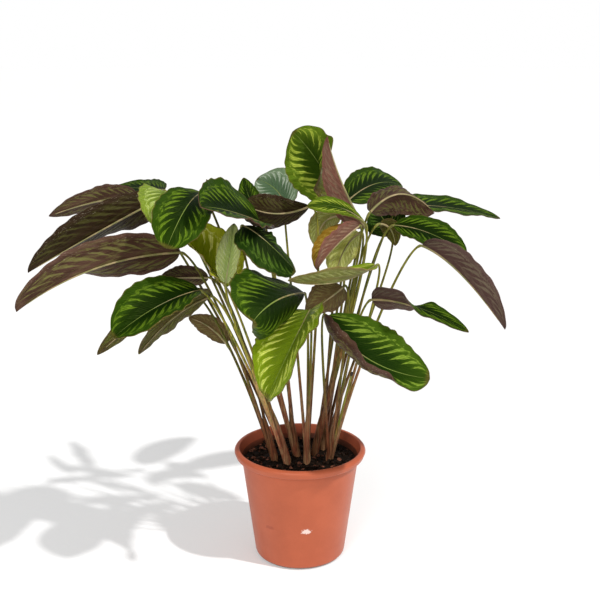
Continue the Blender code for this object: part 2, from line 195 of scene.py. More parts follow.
LEAVES = {
    "left_1": Leaf("a", (-145, -30, 410), (-239, -80, 401), (-322, -120, 360), 68, "under",
                   roll=(-80,), left=(0,), right=(0, 30, 85, 95), left_curl=(10,), point=0.5),
    "left_2": Leaf("c", (-170, 10, 470), (-250, -20, 430), (-330, -30, 385), 66, "under",
                   roll=(-75,), left=(0,), right=(10, 50, 70), left_curl=(10,)),
    "left_3": Leaf("c", (-210, 60, 464), (-270, 90, 452), (-335, 110, 430), 46, "under",
                   roll=(-65,), left=(55,), right=(30,), left_curl=(10,)),
    "left_4": Leaf("c", (-180, 110, 465), (-215, 160, 460), (-265, 210, 455), 36, "deep",
                   roll=(40,), left=(0,), right=(0,)),
    "left_5": Leaf("c", (-142, -5, 464), (-152, -50, 481), (-156, -88, 450), 76, "young",
                   roll=(10,), left=(-25,), right=(5,), point=0.45),
    "left_6": Leaf("d", (-115, -25, 480), (-128, -85, 476), (-149, -120, 433), 66, "deep",
                   roll=(20,), widest=0.64, point=0.5),
    "left_7": Leaf("b", (-120, -60, 370), (-162, -110, 364), (-210, -140, 335), 72, "deep",
                   roll=(65,), left=(65,), right=(0,), widest=0.58),
    "left_8": Leaf("a", (-135, -10, 355), (-180, -40, 340), (-245, -60, 290), 50, "under", roll=(-60,)),
    "left_9": Leaf("b", (-110, -30, 355), (-150, -70, 340), (-190, -90, 300), 56, "under",
                   roll=(-50,), right=(0,)),
    "left_10": Leaf("a", (-115, 8, 370), (-145, 8, 370), (-175, 8, 370), 36, "under", roll=(-60,)),
    "left_11": Leaf("a", (-95, 20, 280), (-115, 10, 305), (-140, 0, 320), 32, "under", roll=(-60,)),
    "left_12": Leaf("b", (-90, -30, 366), (-113, -36, 399), (-153, -30, 447), 92, "young",
                    roll=(82,), left=(92,), right=(0,)),
    "left_13": Leaf("b", (-87, -75, 383), (-82, -68, 414), (-78, -45, 448), 32, "young",
                    left=(25,), right=(25,)),
    "mid_1": Leaf("d", (-50, 0, 442), (-85, -72, 468), (-110, -122, 480), 88, "deep",
                  roll=(60,), left=(45,), right=(0,), widest=0.38),
    "mid_2": Leaf("d", (-50, 60, 440), (-65, 90, 455), (-75, 120, 480), 30, "deep", roll=(30,)),
    "mid_3": Leaf("e", (12, 40, 455), (-30, 25, 448), (-68, 10, 462), 50, "under",
                  roll=(-70,), left=(45,), widest=0.6, point=0.4),
    "mid_4": Leaf("e", (-20, 80, 440), (-30, 130, 460), (-60, 180, 470), 68, "deep", roll=(45,)),
    "mid_5": Leaf("d", (-66, -60, 448), (-39, -70, 431), (-5, -55, 392), 76, "deep",
                  roll=(-40,), left=(-30,), right=(0,), point=0.5),
    "mid_6": Leaf("e", (5, -40, 362), (-26, -130, 376), (-51, -180, 365), 112, "deep",
                  roll=(40,), left=(-10,), right=(-10,), left_curl=(-130,), widest=0.52, point=0.5),
    "mid_7": Leaf("e", (12, -50, 343), (-8, -106, 318), (-38, -120, 256), 104, "young",
                  roll=(5,), left=(45,), right=(0,), point=0.45),
    "mid_8": Leaf("f", (57, 45, 447), (27, 55, 503), (-9, 45, 548), 88, "deep",
                  roll=(80,), left=(0,), right=(150, 140, 105, 40, 0), widest=0.55),
    "mid_9": Leaf("f", (79, -15, 438), (51, -12, 491), (33, 0, 546), 58, "under",
                  roll=(-80,), left=(140,), widest=0.36),
    "mid_10": Leaf("f", (78, -25, 445), (47, -40, 466), (8, -50, 469), 24, "deep",
                   roll=(50,), widest=0.65),
    "mid_11": Leaf("f", (70, -35, 443), (40, -60, 422), (20, -70, 397), 48, "orange",
                   roll=(40,), left=(110,), right=(0,)),
    "mid_12": Leaf("g", (52, 70, 438), (30, 80, 425), (22, 80, 394), 36, "under", roll=(-60,)),
    "mid_13": Leaf("f", (72, -14, 431), (54, -11, 409), (43, -12, 373), 44, "under",
                   roll=(-60,), widest=0.5),
    "mid_14": Leaf("h", (52, -30, 367), (34, -30, 352), (7, -30, 334), 54, "under", roll=(-60,)),
    "mid_15": Leaf("h", (92, -30, 394), (40, -60, 380), (-14, -90, 389), 50, "young",
                   roll=(20,), left=(30, 80, 85), right=(0,)),
    "right_1": Leaf("g", (63, 90, 454), (104, 150, 468), (144, 200, 458), 56, "deep",
                    roll=(-40,), widest=0.4),
    "right_2": Leaf("g", (87, 10, 453), (128, 30, 472), (170, 40, 446), 60, "under",
                    roll=(70,), left=(0,), right=(100,), widest=0.46, point=0.35),
    "right_3": Leaf("g", (130, 70, 450), (200, 120, 440), (275, 150, 420), 54, "deep", roll=(-20,)),
    "right_4": Leaf("h", (118, 20, 434), (161, 0, 427), (202, -25, 406), 48, "deep", roll=(-30,)),
    "right_5": Leaf("h", (147, -35, 419), (189, -65, 392), (241, -85, 329), 56, "under",
                    roll=(80,), left=(85,), right=(0,), widest=0.52),
    "right_6": Leaf("g", (100, 20, 436), (114, 25, 428), (120, 25, 407), 24, "under", roll=(60,)),
    "right_7": Leaf("h", (88, -30, 351), (136, -70, 353), (196, -100, 330), 40, "deep",
                    roll=(80, 50, -15, -25), widest=0.36),
    "right_8": Leaf("h", (32, -40, 333), (81, -90, 294), (150, -120, 280), 94, "deep",
                    roll=(-45,), left=(0,), right=(10,), right_curl=(170, 160, 110, 10), point=0.5),
    "right_9": Leaf("g", (121, 80, 409), (112, 90, 426), (96, 100, 446), 56, "deep", roll=(40,)),
}

# The cut stub on the right: its shoot, its end and where it bends, and its dried cap as pairs of the
# distance past the end and the radius, in millimetres
STUB_SHOOT = "h"
STUB_END = (65, -22, 254)
STUB_BENDS = (0.3, 0.7)
STUB_CAP = ((-4, 1.4), (-1, 2.1), (1, 1.7))

# Each blade's upper and lower finish, by its tone
LOOKS = {
    "deep": ("deep", "purple"),
    "young": ("fresh", "olive"),
    "under": ("deep", "purple"),
    "orange": ("orange", "pink"),
}

# Blades whose finish isn't the usual one of their tone
OWN_LOOKS = {
    "left_2": ("deep", "dusk"),
    "left_5": ("bud", "pale"),
    "left_7": ("deep", "olive"),
    "left_8": ("deep", "olive"),
    "left_9": ("deep", "olive"),
    "left_11": ("deep", "tan"),
    # left_12's olive upper finish is brightened to paint the light shining through the blade from
    # behind
    "left_12": ("olive", "pale"),
    # left_13's pale finishes are partly its own pale green, partly a painted highlight and painted
    # light shining through it
    "left_13": ("pale", "light"),
    "mid_3": ("deep", "dusk"),
    "mid_4": ("glossy", "purple"),
    "mid_5": ("shade", "purple"),
    "mid_8": ("lively", "olive"),
    "mid_9": ("deep", "pink"),
    "mid_10": ("lively", "pale"),
    "mid_12": ("shade", "pale"),
    "mid_13": ("deep", "light"),
    "mid_14": ("deep", "tan"),
    "mid_15": ("fresh", "pale"),
    "right_5": ("deep", "plum"),
    "right_6": ("deep", "olive"),
    "right_7": ("deep", "plum"),
    "right_8": ("bright", "purple"),
    "right_9": ("shade", "purple"),
}

# Upper finishes: ground by the midrib, ground by the margin, streaks, and how rough the gloss is
Upper = namedtuple("Upper", "dark margin streak rough")
UPPERS = {
    "deep": Upper((0.004, 0.014, 0.001), (0.020, 0.050, 0.002), (0.135, 0.225, 0.014), 0.40),
    # shade is a darker copy of deep: painted shade for blades that sit in shadow
    "shade": Upper((0.004, 0.012, 0.002), (0.013, 0.036, 0.003), (0.085, 0.160, 0.018), 0.38),
    "bright": Upper((0.007, 0.024, 0.002), (0.045, 0.095, 0.005), (0.250, 0.370, 0.040), 0.40),
    "lively": Upper((0.024, 0.052, 0.003), (0.090, 0.150, 0.008), (0.42, 0.50, 0.06), 0.40),
    "fresh": Upper((0.105, 0.160, 0.006), (0.180, 0.265, 0.008), (0.62, 0.68, 0.14), 0.40),
    "bud": Upper((0.115, 0.170, 0.018), (0.180, 0.250, 0.030), (0.46, 0.54, 0.18), 0.42),
    # olive, worn only by left_12, has colours brightened to paint the light that shines through the
    # blade from behind
    "olive": Upper((0.260, 0.320, 0.015), (0.440, 0.480, 0.035), (0.95, 0.95, 0.42), 0.42),
    # pale, worn only by left_13: its whitish green is partly the blade's own pale green, partly a
    # painted highlight and painted light shining through it
    "pale": Upper((0.300, 0.380, 0.110), (0.400, 0.460, 0.170), (0.56, 0.60, 0.30), 0.45),
    # glossy, worn by mid_4: the grey-blue in its colours is a painted sheen over the blade's green; its
    # low roughness is real gloss
    "glossy": Upper((0.070, 0.130, 0.060), (0.170, 0.250, 0.135), (0.52, 0.60, 0.46), 0.30),
    "orange": Upper((0.150, 0.070, 0.008), (0.230, 0.125, 0.014), (0.38, 0.28, 0.05), 0.42),
}

# Lower finishes: ground, stripes along the veins, and the margin
Lower = namedtuple("Lower", "ground stripe margin")
LOWERS = {
    "purple": Lower((0.045, 0.018, 0.012), (0.135, 0.125, 0.036), (0.105, 0.052, 0.036)),
    # dusk is a darker copy of purple: painted shade for undersides that sit in shadow
    "dusk": Lower((0.020, 0.010, 0.003), (0.060, 0.056, 0.012), (0.040, 0.021, 0.010)),
    "tan": Lower((0.130, 0.085, 0.030), (0.220, 0.180, 0.060), (0.150, 0.085, 0.035)),
    "plum": Lower((0.078, 0.040, 0.034), (0.150, 0.115, 0.075), (0.115, 0.066, 0.056)),
    "olive": Lower((0.060, 0.050, 0.010), (0.130, 0.150, 0.025), (0.100, 0.065, 0.020)),
    "pink": Lower((0.190, 0.085, 0.058), (0.310, 0.190, 0.120), (0.240, 0.085, 0.060)),
    "pale": Lower((0.190, 0.200, 0.050), (0.370, 0.390, 0.140), (0.240, 0.170, 0.060)),
    "light": Lower((0.460, 0.490, 0.130), (0.720, 0.740, 0.300), (0.390, 0.340, 0.095)),
}

# Finishes of young thin blades, which let some light through
YOUNG_FINISHES = ("fresh", "bud", "olive", "pale", "light", "orange")
BLADE_GLOW = 0.45
BLADE_GLOW_DEPTH = 3 * MM
BLADE_GLOW_COLOUR = (1.0, 1.0, 0.4)

# The light pattern of a blade, in shares of its half width and of the room between two veins. A pair
# is what a share from 0 to 1 adds at most, and the least.
FLAME_START = (0.18, 0.05)
FLAME_END = (0.14, 0.56)
FLAME_WIDTH = (0.24, 0.20)
FLAME_BLUR = 0.09
FLAME_FADE = 0.06
FLAME_FRAY = (0.16, -0.08)
LINE_PLACE = (0.16, 0.66)
LINE_WANDER = 0.07
LINE_CORE = 0.015
LINE_EDGE = 0.055
LINE_LIGHT = 0.90
VEIN_WOBBLE = 0.05
UPPER_FINE_VEINS = 4.0
LOWER_FINE_VEINS = 5.0
BLADE_BUMP = 0.6 * MM
LOWER_ROUGH = 0.45

# Colours
MIDRIB_PALE = (0.25, 0.33, 0.07)
MARGIN_EDGE = (0.130, 0.105, 0.022)
SPECK_PALE = (0.42, 0.36, 0.26)
RIB_BEIGE = (0.36, 0.27, 0.13)
RIB_OLIVE = (0.20, 0.19, 0.06)

STALK_DARK = (0.036, 0.012, 0.008)
STALK_FOOT = (0.140, 0.044, 0.014)
STALK_MIDDLE = (0.130, 0.064, 0.012)
STALK_UPPER = (0.118, 0.128, 0.013)
STALK_NECK = (0.260, 0.270, 0.065)
STALK_RUDDY = (0.400, 0.130, 0.070)
STALK_BEIGE = (0.520, 0.300, 0.150)
STALK_PALE_UPPER = (0.340, 0.310, 0.040)
STALK_GREEN = (0.105, 0.140, 0.012)
CUT_DARK = (0.012, 0.008, 0.006)
CUT_BROWN = (0.06, 0.035, 0.02)

TERRACOTTA = (0.46, 0.105, 0.046)
TERRACOTTA_DARK = (0.38, 0.084, 0.037)
# Dusty soil and painted shade on the pot's inner wall
POT_DUST_AND_SHADE = (0.060, 0.022, 0.012)
PEAT_DARK = (0.003, 0.002, 0.001)
PEAT_LIGHT = (0.013, 0.007, 0.004)
CRUMB_BROWN = (0.030, 0.015, 0.009)
BARK_BROWN = (0.30, 0.11, 0.065)
BARK_RED = (0.150, 0.052, 0.030)

# Gloss: how strong, and its colour
UPPER_SHEEN = (0.09, (0.78, 1.0, 0.25))
LOWER_SHEEN = (0.12, (1.0, 0.86, 0.74))
STALK_SHEEN = (0.15, (1.0, 0.92, 0.75))
POT_SHEEN = (0.35, (1.0, 0.88, 0.76))
SOIL_SHEEN = (0.10, (1.0, 0.90, 0.84))

# Marks on the pot's front: centre and half size in metres, how strong, and the colour
Mark = namedtuple("Mark", "centre size strength colour")
MARKS = [
    Mark((0.0082, -0.0654, 0.058), (0.0075, 0.02, 0.0042), 0.8, (0.85, 0.72, 0.66)),
    Mark((-0.0385, -0.0535, 0.058), (0.0075, 0.02, 0.0028), 0.4, (0.24, 0.035, 0.022)),
]


# Materials: short calls that each add one shader node


class Finish:
    """A procedural material that is built node by node."""

    def __init__(self, name):
        self.material = bpy.data.materials.new(name)
        self.material.use_nodes = True
        self.tree = self.material.node_tree
        self.shader = self.tree.nodes["Principled BSDF"]

    def feed(self, socket, value):
        """Links a node's output to a socket, or sets the socket's value."""
        if isinstance(value, bpy.types.NodeSocket):
            self.tree.links.new(value, socket)
        elif socket.type == "RGBA":
            socket.default_value = (*value, 1.0)
        else:
            socket.default_value = value

    def add(self, kind, inputs, **settings):
        """A new node with these inputs and settings."""
        made = self.tree.nodes.new(kind)
        for key, value in settings.items():
            setattr(made, key, value)
        for key, value in inputs.items():
            self.feed(made.inputs[key], value)
        return made

    def math(self, operation, first, second=0.0, third=0.0):
        made = self.add("ShaderNodeMath", {0: first, 1: second, 2: third}, operation=operation)
        return made.outputs[0]

    def vector_math(self, operation, first, second):
        made = self.add("ShaderNodeVectorMath", {0: first, 1: second}, operation=operation)
        return made.outputs[0]

    def length(self, vector):
        made = self.add("ShaderNodeVectorMath", {0: vector}, operation="LENGTH")
        return made.outputs["Value"]

    def scaled(self, value, factor, offset=0.0):
        """The value times a factor, plus an offset."""
        return self.math("MULTIPLY_ADD", value, factor, offset)

    def ease(self, value, start, end, low=0.0, high=1.0):
        """From low at start to high at end, eased between and held outside."""
        made = self.add(
            "ShaderNodeMapRange",
            {"Value": value, "From Min": start, "From Max": end, "To Min": low, "To Max": high},
            interpolation_type="SMOOTHSTEP",
        )
        return made.outputs["Result"]

    def mix(self, share, first, second):
        """A colour between two, by a share from 0 to 1."""
        made = self.add("ShaderNodeMix", {0: share, 6: first, 7: second}, data_type="RGBA")
        return made.outputs[2]

    def join(self, x, y, z):
        return self.add("ShaderNodeCombineXYZ", {0: x, 1: y, 2: z}).outputs[0]

    def split(self, vector):
        return self.add("ShaderNodeSeparateXYZ", {0: vector}).outputs

    def attribute(self, name):
        return self.add("ShaderNodeAttribute", {}, attribute_name=name).outputs["Fac"]

    def object_place(self):
        return self.add("ShaderNodeTexCoord", {}).outputs["Object"]

    def noise(self, place, scale, detail=2.0, rough=0.5):
        inputs = {"Vector": place, "Scale": scale, "Detail": detail, "Roughness": rough}
        return self.add("ShaderNodeTexNoise", inputs).outputs[0]

    def stretch(self, place, scale):
        return self.add("ShaderNodeMapping", {"Vector": place, "Scale": scale}).outputs[0]

    def dice(self, place):
        """Three steady random numbers for each whole place."""
        made = self.add("ShaderNodeTexWhiteNoise", {"Vector": place}, noise_dimensions="3D")
        return self.split(made.outputs["Color"])

    def paint(self, colour, rough):
        self.feed(self.shader.inputs["Base Color"], colour)
        self.feed(self.shader.inputs["Roughness"], rough)

    def sheen(self, level, tint):
        """How strong the gloss is, and its colour."""
        self.feed(self.shader.inputs["Specular IOR Level"], level)
        self.feed(self.shader.inputs["Specular Tint"], tint)

    def glow(self):
        """Lets light pass through a thin blade."""
        self.feed(self.shader.inputs["Subsurface Weight"], BLADE_GLOW)
        self.feed(self.shader.inputs["Subsurface Radius"], BLADE_GLOW_COLOUR)
        self.feed(self.shader.inputs["Subsurface Scale"], BLADE_GLOW_DEPTH)

    def bump(self, height, distance):
        made = self.add("ShaderNodeBump", {"Height": height, "Distance": distance})
        self.feed(self.shader.inputs["Normal"], made.outputs[0])


def blade_ways(finish):
    """A point's way along its blade, across it and outwards, its seed, place for noise and vein."""
    place = finish.add("ShaderNodeUVMap", {}, uv_map="blade").outputs[0]
    t, width, _ = finish.split(place)
    across = finish.scaled(width, 2.0, -1.0)
    reach = finish.math("ABSOLUTE", across)
    seed = finish.attribute("seed")
    own = finish.join(t, across, finish.scaled(seed, 40.0))
    wobble = finish.noise(own, 5.0)
    bent = finish.math("ADD", t, finish.scaled(wobble, VEIN_WOBBLE))
    swept = finish.math("SUBTRACT", bent, finish.scaled(reach, VEIN_SLANT))
    phase = finish.scaled(swept, VEIN_COUNT)
    return t, across, reach, seed, own, phase


def flame_pattern(finish, across, reach, seed, own, phase):
    """The light pattern, from 0 to 1: flames that widen outwards, then a ragged pale line."""
    cell = finish.math("FLOOR", phase)
    place = finish.math("FRACT", phase)
    key = finish.join(cell, finish.math("SIGN", across), finish.scaled(seed, 97.0))
    first, second, third = finish.dice(key)
    start = finish.scaled(first, *FLAME_START)
    end = finish.scaled(second, *FLAME_END)
    grown = finish.ease(reach, start, end)
    spread = finish.math("MULTIPLY", grown, finish.scaled(third, *FLAME_WIDTH))
    middle = finish.math("ABSOLUTE", finish.math("SUBTRACT", place, 0.5))
    flame = finish.ease(finish.math("SUBTRACT", spread, middle), 0.0, FLAME_BLUR)
    ragged = finish.math("ADD", reach, finish.scaled(finish.noise(own, 24.0), *FLAME_FRAY))
    beyond = finish.scaled(end, 1.0, FLAME_FADE)
    flame = finish.math("MULTIPLY", flame, finish.ease(ragged, end, beyond, 1.0, 0.0))

    wander = finish.scaled(second, LINE_WANDER)
    line = finish.math("ADD", finish.scaled(middle, *LINE_PLACE), wander)
    off_line = finish.math("ABSOLUTE", finish.math("SUBTRACT", ragged, line))
    feather = finish.ease(off_line, LINE_CORE, LINE_EDGE, 1.0, 0.0)
    feather = finish.math("MULTIPLY", feather, finish.ease(finish.noise(own, 14.0), 0.36, 0.58))
    return finish.math("MAXIMUM", flame, finish.scaled(feather, LINE_LIGHT))


def upper_finish(name, colours):
    """A blade's upper face: a dark ground with pale flames between the veins and a pale midrib."""
    finish = Finish("leaf_upper_" + name)
    t, across, reach, seed, own, phase = blade_ways(finish)
    pattern = flame_pattern(finish, across, reach, seed, own, phase)
    fine = finish.math("SINE", finish.scaled(phase, math.tau * UPPER_FINE_VEINS))
    mottle = finish.noise(own, 9.0, 4.0, 0.6)
    share = finish.math("ADD", finish.ease(reach, 0.25, 0.85), finish.scaled(mottle, 0.6, -0.3))
    share = finish.math("ADD", share, finish.ease(t, 0.6, 1.0, 0.0, 0.5))
    share = finish.math("MAXIMUM", finish.math("ADD", share, finish.scaled(fine, 0.10)), 0.0)
    ground = finish.mix(share, colours.dark, colours.margin)
    light = finish.math("MULTIPLY", pattern, finish.scaled(mottle, 1.2, 0.25))
    light = finish.math("MULTIPLY", light, finish.scaled(fine, 0.28, 0.76))
    colour = finish.mix(light, ground, colours.streak)
    rib_width = finish.scaled(t, -0.016, 0.028)
    rib = finish.ease(reach, finish.scaled(rib_width, 0.5), rib_width, 0.85, 0.0)
    colour = finish.mix(rib, colour, MIDRIB_PALE)
    edge = finish.math("MAXIMUM", finish.ease(reach, 0.955, 0.995), finish.ease(t, 0.955, 0.985))
    colour = finish.mix(finish.scaled(edge, 0.7), colour, MARGIN_EDGE)

    finish.paint(colour, finish.scaled(mottle, 0.2, colours.rough - 0.1))
    finish.sheen(*UPPER_SHEEN)
    if name in YOUNG_FINISHES:
        finish.glow()
    quilt = finish.math("SINE", finish.scaled(phase, math.tau))
    height = finish.math("ADD", finish.scaled(quilt, 0.5), finish.scaled(fine, 0.22))
    height = finish.math("SUBTRACT", height, finish.scaled(rib, 1.2))
    finish.bump(height, BLADE_BUMP)
    return finish.material


def lower_finish(name, colours):
    """A blade's lower face: the upper pattern shows through a dull ground, dimmed and broken up."""
    finish = Finish("leaf_lower_" + name)
    t, across, reach, seed, own, phase = blade_ways(finish)
    pattern = flame_pattern(finish, across, reach, seed, own, phase)
    mottle = finish.noise(own, 7.0, 4.0, 0.6)
    blotch = finish.ease(mottle, 0.48, 0.66)
    fine = finish.math("SINE", finish.scaled(phase, math.tau * LOWER_FINE_VEINS))
    share = finish.math("MULTIPLY", pattern, finish.scaled(mottle, 2.0, -0.10))
    share = finish.math("MAXIMUM", share, finish.scaled(blotch, 0.55))
    share = finish.math("MAXIMUM", finish.math("ADD", share, finish.scaled(fine, 0.12)), 0.0)
    ruddy = finish.ease(finish.noise(own, 2.5, 3.0), 0.45, 0.65, 0.0, 0.6)
    ground = finish.mix(ruddy, colours.ground, colours.margin)
    colour = finish.mix(share, ground, colours.stripe)
    edge = finish.math("MAXIMUM", finish.ease(reach, 0.78, 0.98), finish.ease(t, 0.90, 0.98))
    colour = finish.mix(finish.scaled(edge, 0.75), colour, colours.margin)
    specks = finish.ease(finish.noise(own, 48.0, 1.0), 0.66, 0.74)
    specks = finish.math("MULTIPLY", specks, finish.ease(reach, 0.5, 0.8, 0.0, 0.6))
    colour = finish.mix(specks, colour, SPECK_PALE)
    finish.paint(colour, finish.scaled(mottle, 0.2, LOWER_ROUGH - 0.1))
    finish.sheen(*LOWER_SHEEN)
    if name in YOUNG_FINISHES:
        finish.glow()
    quilt = finish.math("SINE", finish.scaled(phase, math.tau))
    height = finish.math("ADD", finish.scaled(quilt, -0.5), finish.scaled(fine, 0.25))
    finish.bump(height, BLADE_BUMP)
    return finish.material


def rib_finish():
    """The raised midrib under a blade."""
    finish = Finish("leaf_rib")
    spots = finish.noise(finish.object_place(), 90.0, 3.0)
    colour = finish.mix(finish.ease(spots, 0.35, 0.65), RIB_OLIVE, RIB_BEIGE)
    finish.paint(colour, finish.scaled(spots, 0.2, 0.35))
    return finish.material


def stalk_finish():
    """Stalks: reddish brown at the foot, olive above and pale at the neck."""
    finish = Finish("stem_skin")
    way = finish.attribute("way")
    pale = finish.attribute("pale")
    place = finish.object_place()
    streaks = finish.noise(finish.stretch(place, (1.0, 1.0, 0.08)), 900.0)
    patches = finish.noise(place, 45.0, 3.0, 0.6)
    shifted = finish.math("ADD", way, finish.scaled(patches, 0.5, -0.25))
    dark = finish.mix(finish.ease(shifted, 0.02, 0.35), STALK_FOOT, STALK_MIDDLE)
    dark = finish.mix(finish.ease(shifted, 0.22, 0.60), dark, STALK_UPPER)
    sides = finish.noise(finish.stretch(place, (1.0, 1.0, 0.05)), 300.0, 1.0)
    foot = finish.mix(finish.ease(sides, 0.40, 0.56), STALK_RUDDY, STALK_BEIGE)
    bright = finish.mix(finish.ease(shifted, 0.10, 0.6), foot, STALK_PALE_UPPER)
    colour = finish.mix(pale, dark, bright)
    raised = finish.ease(shifted, 0.15, 0.4, 0.0, 0.8)
    green = finish.math("MULTIPLY", finish.ease(sides, 0.52, 0.60), raised)
    colour = finish.mix(green, colour, STALK_GREEN)
    colour = finish.mix(finish.ease(way, 0.90, 0.95), colour, STALK_NECK)
    strength = finish.scaled(pale, -0.45, 0.80)
    shade = finish.math("MULTIPLY", finish.ease(streaks, 0.35, 0.65), strength)
    colour = finish.mix(shade, colour, STALK_DARK)
    finish.paint(colour, finish.scaled(patches, 0.2, 0.32))
    finish.sheen(*STALK_SHEEN)
    finish.bump(streaks, 0.15 * MM)
    return finish.material


def stub_finish():
    """The dried end of the cut stalk."""
    finish = Finish("stem_cut_end")
    grain = finish.noise(finish.object_place(), 700.0, 3.0)
    colour = finish.mix(grain, CUT_DARK, CUT_BROWN)
    finish.paint(colour, 0.8)
    finish.bump(grain, 0.3 * MM)
    return finish.material


def pot_finish():
    """Satin terracotta plastic with faint cloudiness, a pale scuff and a reddish mark."""
    finish = Finish("pot_terracotta")
    place = finish.object_place()
    clouds = finish.noise(place, 22.0, 4.0, 0.6)
    speckle = finish.noise(place, 420.0)
    cloudy = finish.ease(clouds, 0.3, 0.7, 0.0, 0.6)
    share = finish.math("ADD", cloudy, finish.scaled(speckle, 0.35, -0.15))
    colour = finish.mix(share, TERRACOTTA, TERRACOTTA_DARK)
    # The inner wall is darkened: dusty soil, and painted shade inside the pot
    colour = finish.mix(inside_dust_and_shade(finish, place, clouds), colour, POT_DUST_AND_SHADE)
    for mark in MARKS:
        colour = finish.mix(spot(finish, place, mark), colour, mark.colour)
    finish.paint(colour, finish.scaled(clouds, 0.2, 0.30))
    finish.sheen(*POT_SHEEN)
    finish.bump(speckle, 0.08 * MM)
    return finish.material


def inside_dust_and_shade(finish, place, clouds):
    """A share from 0 to 1 of darkening on the pot's inner wall, most of it just above the soil: partly
    dusty soil, partly painted shade inside the pot.
    """
    x, y, height = finish.split(place)
    radius = finish.length(finish.join(x, y, 0.0))
    slope = (wall_radius(POT_HEIGHT) - wall_radius(0.0)) / POT_HEIGHT
    middle = finish.scaled(height, slope, wall_radius(0.0) - WALL / 2)
    depth = finish.math("SUBTRACT", middle, radius)
    inside = finish.math("GREATER_THAN", depth, 0.0)
    ragged = finish.math("ADD", height, finish.scaled(clouds, 24 * MM, -12 * MM))
    # Darkest just above the soil, fading towards the lip: dusty soil and painted shade inside the pot
    dust_and_shade = finish.ease(ragged, SOIL_TOP, POT_HEIGHT - LIP_EDGE, 0.9, 0.15)
    return finish.math("MULTIPLY", inside, dust_and_shade)


def spot(finish, place, mark):
    """A share from 0 to 1 that is full inside a ragged oval mark."""
    moved = finish.vector_math("SUBTRACT", place, mark.centre)
    sized = finish.vector_math("DIVIDE", moved, mark.size)
    ragged = finish.noise(place, 350.0, 3.0)
    reach = finish.math("ADD", finish.length(sized), finish.scaled(ragged, 1.6, -0.8))
    return finish.ease(reach, 0.6, 1.0, mark.strength, 0.0)


def soil_finish(name, light):
    """Dark, crumbly potting soil with a few reddish fibres."""
    finish = Finish(name)
    place = finish.object_place()
    grains = finish.noise(place, 260.0, 5.0, 0.7)
    lumps = finish.noise(place, 60.0)
    colour = finish.mix(finish.ease(grains, 0.35, 0.7), PEAT_DARK, light)
    bits = finish.ease(finish.noise(place, 190.0), 0.66, 0.72)
    colour = finish.mix(finish.scaled(bits, 0.7), colour, BARK_RED)
    finish.paint(colour, finish.scaled(lumps, 0.30, 0.45))
    finish.sheen(*SOIL_SHEEN)
    finish.bump(grains, 1.0 * MM)
    return finish.material


def floor_finish():
    """A white studio floor that glows a little, as one that is lit on its own does."""
    finish = Finish("floor_pale")
    haze = finish.noise(finish.object_place(), 3.0)
    finish.paint(finish.mix(haze, *FLOOR_TONES), 0.9)
    finish.sheen(0.0, (1.0, 1.0, 1.0))
    finish.feed(finish.shader.inputs["Emission Color"], (1.0, 1.0, 1.0))
    finish.feed(finish.shader.inputs["Emission Strength"], FLOOR_GLOW)
    return finish.material


# Small helpers


def add_object(name, bm, looks):
    """A new object in the scene, from a mesh that is used up."""
    mesh = bpy.data.meshes.new(name)
    bm.to_mesh(mesh)
    bm.free()
    for look in looks:
        mesh.materials.append(look)
    made = bpy.data.objects.new(name, mesh)
    bpy.context.scene.collection.objects.link(made)
    return made


def shade_round(thing, angle):
    """Smooth shading, but for edges sharper than this angle in degrees."""
    thing.data.shade_smooth()
    thing.data.set_sharp_from_angle(angle=math.radians(angle))


def apply_modifiers(thing):
    """Makes the modified mesh the object's own."""
    graph = bpy.context.evaluated_depsgraph_get()
    mesh = bpy.data.meshes.new_from_object(thing.evaluated_get(graph))
    thing.modifiers.clear()
    thing.data = mesh


def place_piece(thing, nodes):
    """Puts a piece under the root body and hides the imported parts that it stands for."""
    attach(thing, "root")
    if nodes:
        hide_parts(*nodes)


def along(values, t):
    """The value at t, from 0 to 1, eased between values spread evenly from neck to tip."""
    place = t * (len(values) - 1)
    first = min(int(place), len(values) - 1)
    last = min(first + 1, len(values) - 1)
    part = place - first
    ease = part * part * (3 - 2 * part)
    return values[first] + (values[last] - values[first]) * ease


# Pot and soil


def wall_radius(height):
    """Outer radius of the pot's wall at a height."""
    share = (height - FOOT_ROUND) / (POT_HEIGHT - LIP_HEIGHT - FOOT_ROUND)
    return WALL_FOOT_RADIUS + (WALL_TOP_RADIUS - WALL_FOOT_RADIUS) * share


def arc(centre_radius, centre_height, radius, start, end, steps):
    """Points of a round corner in the pot's profile, by angle in degrees up from outwards."""
    points = []
    for step in range(steps + 1):
        angle = math.radians(start + (end - start) * step / steps)
        out, up = radius * math.cos(angle), radius * math.sin(angle)
        points.append((centre_radius + out, centre_height + up))
    return points


def turn(profile, sides):
    """A closed turned solid from a profile that starts and ends on the axis."""
    bm = bmesh.new()
    points = [bm.verts.new((radius, 0.0, height)) for radius, height in profile]
    edges = [bm.edges.new(pair) for pair in zip(points, points[1:])]
    bmesh.ops.spin(
        bm,
        geom=points + edges,
        axis=(0, 0, 1),
        cent=(0, 0, 0),
        steps=sides,
        angle=math.tau,
        use_merge=True,
    )
    bmesh.ops.remove_doubles(bm, verts=bm.verts[:], dist=0.01 * MM)
    bmesh.ops.recalc_face_normals(bm, faces=bm.faces[:])
    return bm


